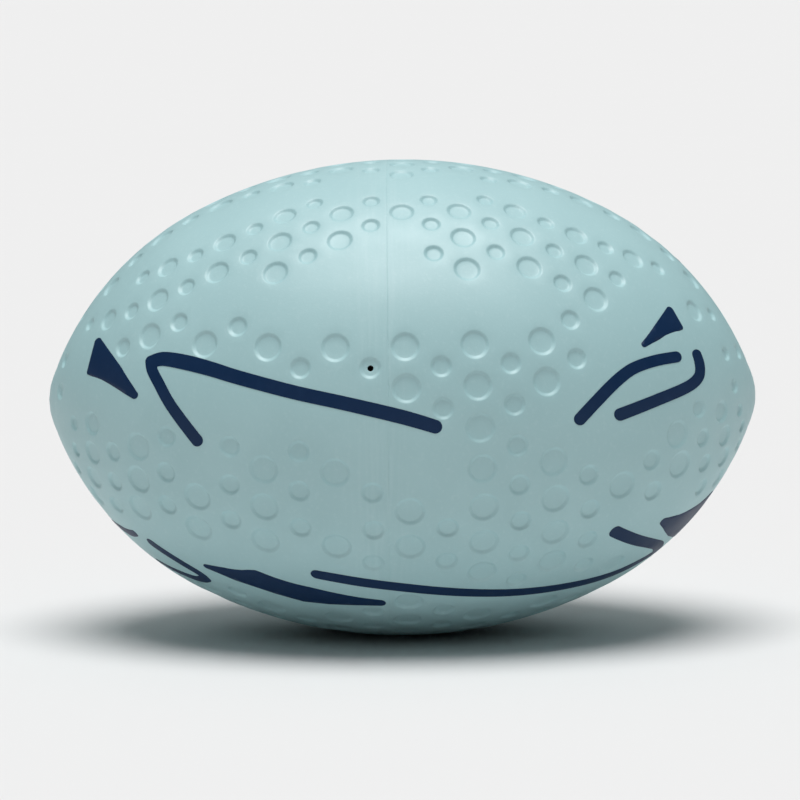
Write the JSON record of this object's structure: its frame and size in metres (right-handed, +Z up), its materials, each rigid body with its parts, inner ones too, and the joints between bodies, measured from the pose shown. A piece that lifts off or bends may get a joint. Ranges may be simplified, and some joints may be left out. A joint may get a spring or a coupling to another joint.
{
  "type": "rugby ball",
  "caption": "Pointed oval ball with a dimpled two-half cover, wound carcass, bladder, needle valve and printed line marks.",
  "frame": {"origin": "centre of the ball, midway between the tips on the long axis", "axes": "+X along the long axis to the right-hand tip, +Z up as the ball lies, -Y towards the printed face with the needle port"},
  "size_m": [0.26, 0.1752, 0.175],
  "materials": {
    "cover_rubber": "satin moulded rubber",
    "print_ink": "satin ink film",
    "carcass_yarn": "wound yarn set in latex",
    "bladder_rubber": "matte butyl rubber",
    "valve_rubber": "matte rubber",
    "core_rubber": "soft satin rubber",
    "patch_rubber": "matte rubber"
  },
  "bodies": {
    "root": {"cover_left": "cover_rubber", "cover_right": "cover_rubber", "wound_carcass": "carcass_yarn", "bladder": "bladder_rubber", "valve_housing": "valve_rubber", "valve_core": "core_rubber", "valve_patch": "patch_rubber", "balance_patch": "patch_rubber", "print_left_blade": "print_ink", "print_chevron": "print_ink", "print_wave": "print_ink", "print_hook": "print_ink", "print_small_blade": "print_ink", "print_sliver": "print_ink", "print_arrow": "print_ink", "print_wide_blade": "print_ink", "print_lower_chevron": "print_ink", "print_right_blade": "print_ink"}
  },
  "joints": []
}
